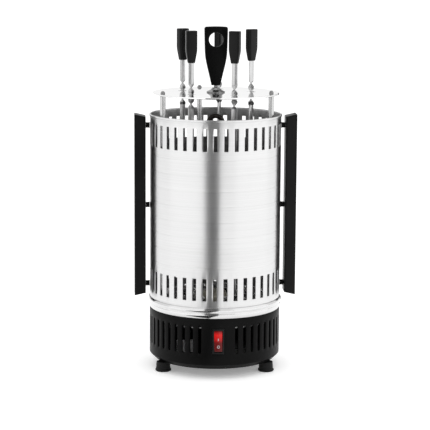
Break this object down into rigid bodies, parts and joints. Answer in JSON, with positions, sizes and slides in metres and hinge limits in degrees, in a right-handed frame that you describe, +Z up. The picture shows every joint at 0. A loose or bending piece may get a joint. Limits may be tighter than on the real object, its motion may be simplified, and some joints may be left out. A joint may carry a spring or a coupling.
{
  "type": "upright electric kebab grill",
  "caption": "Upright electric grill: skewers turn round a hairpin heater inside a slotted lift-off steel casing on a vented base with a switch.",
  "frame": {"origin": "on the floor under the grill's vertical axis", "axes": "+Z up along the axis of the casing, -Y towards the switch, +X to the right-hand handle seen from the front"},
  "size_m": [0.2014, 0.1682, 0.4253],
  "materials": {
    "casing_steel": "brushed round the tube",
    "polished_steel": "mirror polish",
    "disc_mirror": "mirror polish",
    "bright_rod": "bright turned",
    "skewer_steel": "rolled strip, satin",
    "zinc_steel": "zinc plated",
    "heater_tube": "oxidised heater sheath",
    "housing_plastic": "fine moulded grain",
    "handle_board_plastic": "fine moulded grain",
    "grip_plastic": "semi-gloss moulded",
    "bezel_plastic": "semi-gloss moulded",
    "rocker_plastic": "translucent red",
    "foot_rubber": "matt",
    "gear_nylon": "natural nylon",
    "heater_ceramic": "fired steatite",
    "terminal_plastic": "moulded"
  },
  "bodies": {
    "base": {"base_housing": "housing_plastic", "bottom_cover": "housing_plastic", "foot_1": "foot_rubber", "foot_2": "foot_rubber", "foot_3": "foot_rubber", "drip_pan": "polished_steel", "gear_deck": "zinc_steel", "gear_hub": "gear_nylon", "gear_motor": "zinc_steel", "heater_base": "heater_ceramic", "heater_element": "heater_tube", "post_1": "bright_rod", "post_2": "bright_rod", "post_3": "bright_rod", "post_nut_1": "polished_steel", "post_nut_2": "polished_steel", "post_nut_3": "polished_steel", "top_disc": "disc_mirror", "cone_washer": "polished_steel", "handle_stud": "bright_rod", "lifting_handle": "grip_plastic", "switch_bezel": "bezel_plastic", "cord_gland": "housing_plastic", "terminal_block": "terminal_plastic"},
    "casing": {"casing": "casing_steel", "side_handle_left": "handle_board_plastic", "side_handle_right": "handle_board_plastic", "handle_sleeve_left_1": "handle_board_plastic", "handle_sleeve_left_2": "handle_board_plastic", "handle_sleeve_left_3": "handle_board_plastic", "handle_sleeve_right_1": "handle_board_plastic", "handle_sleeve_right_2": "handle_board_plastic", "handle_sleeve_right_3": "handle_board_plastic"},
    "rocker": {"switch_rocker": "rocker_plastic"},
    "ring_gear": {"ring_gear": "gear_nylon"},
    "pinion": {"motor_pinion": "gear_nylon"},
    "spindle_1": {"spindle_gear_1": "gear_nylon", "drip_cup_1": "polished_steel"},
    "skewer_1": {"skewer_blade_1": "skewer_steel", "skewer_grip_1": "grip_plastic"},
    "spindle_2": {"spindle_gear_2": "gear_nylon", "drip_cup_2": "polished_steel"},
    "skewer_2": {"skewer_blade_2": "skewer_steel", "skewer_grip_2": "grip_plastic"},
    "spindle_3": {"spindle_gear_3": "gear_nylon", "drip_cup_3": "polished_steel"},
    "skewer_3": {"skewer_blade_3": "skewer_steel", "skewer_grip_3": "grip_plastic"},
    "spindle_4": {"spindle_gear_4": "gear_nylon", "drip_cup_4": "polished_steel"},
    "skewer_4": {"skewer_blade_4": "skewer_steel", "skewer_grip_4": "grip_plastic"},
    "spindle_5": {"spindle_gear_5": "gear_nylon", "drip_cup_5": "polished_steel"},
    "skewer_5": {"skewer_blade_5": "skewer_steel", "skewer_grip_5": "grip_plastic"}
  },
  "joints": [
    {"name": "casing_lift", "type": "slide", "parent": "base", "child": "casing", "axis": [0, 0, 1], "range_m": [0, 0.345]},
    {"name": "rocker_tilt", "type": "hinge", "parent": "base", "child": "rocker", "pos_m": [0, -0.0785, 0.0478], "axis": [1, 0, 0], "range_deg": [0, 12]},
    {"name": "ring_gear_spin", "type": "hinge", "parent": "base", "child": "ring_gear", "pos_m": [0, 0, 0.0696], "axis": [0, 0, 1], "continuous": true},
    {"name": "pinion_spin", "type": "hinge", "parent": "base", "child": "pinion", "pos_m": [-0.01697, 0.03344, 0.0696], "axis": [0, 0, 1], "continuous": true},
    {"name": "spindle_1_spin", "type": "hinge", "parent": "base", "child": "spindle_1", "pos_m": [0.04446, 0.00696, 0.0696], "axis": [0, 0, 1], "continuous": true},
    {"name": "skewer_1_lift", "type": "slide", "parent": "spindle_1", "child": "skewer_1", "axis": [0, 0, 1], "range_m": [0, 0.27]},
    {"name": "spindle_2_spin", "type": "hinge", "parent": "base", "child": "spindle_2", "pos_m": [0.00712, 0.04443, 0.0696], "axis": [0, 0, 1], "continuous": true},
    {"name": "skewer_2_lift", "type": "slide", "parent": "spindle_2", "child": "skewer_2", "axis": [0, 0, 1], "range_m": [0, 0.27]},
    {"name": "spindle_3_spin", "type": "hinge", "parent": "base", "child": "spindle_3", "pos_m": [-0.04006, 0.0205, 0.0696], "axis": [0, 0, 1], "continuous": true},
    {"name": "skewer_3_lift", "type": "slide", "parent": "spindle_3", "child": "skewer_3", "axis": [0, 0, 1], "range_m": [0, 0.27]},
    {"name": "spindle_4_spin", "type": "hinge", "parent": "base", "child": "spindle_4", "pos_m": [-0.03188, -0.03176, 0.0696], "axis": [0, 0, 1], "continuous": true},
    {"name": "skewer_4_lift", "type": "slide", "parent": "spindle_4", "child": "skewer_4", "axis": [0, 0, 1], "range_m": [0, 0.27]},
    {"name": "spindle_5_spin", "type": "hinge", "parent": "base", "child": "spindle_5", "pos_m": [0.02036, -0.04013, 0.0696], "axis": [0, 0, 1], "continuous": true},
    {"name": "skewer_5_lift", "type": "slide", "parent": "spindle_5", "child": "skewer_5", "axis": [0, 0, 1], "range_m": [0, 0.27]}
  ],
  "couplings": [
    {"joint": "pinion_spin", "follows": "ring_gear_spin", "ratio": -4},
    {"joint": "spindle_1_spin", "follows": "ring_gear_spin", "ratio": -2},
    {"joint": "spindle_2_spin", "follows": "ring_gear_spin", "ratio": -2},
    {"joint": "spindle_3_spin", "follows": "ring_gear_spin", "ratio": -2},
    {"joint": "spindle_4_spin", "follows": "ring_gear_spin", "ratio": -2},
    {"joint": "spindle_5_spin", "follows": "ring_gear_spin", "ratio": -2}
  ]
}
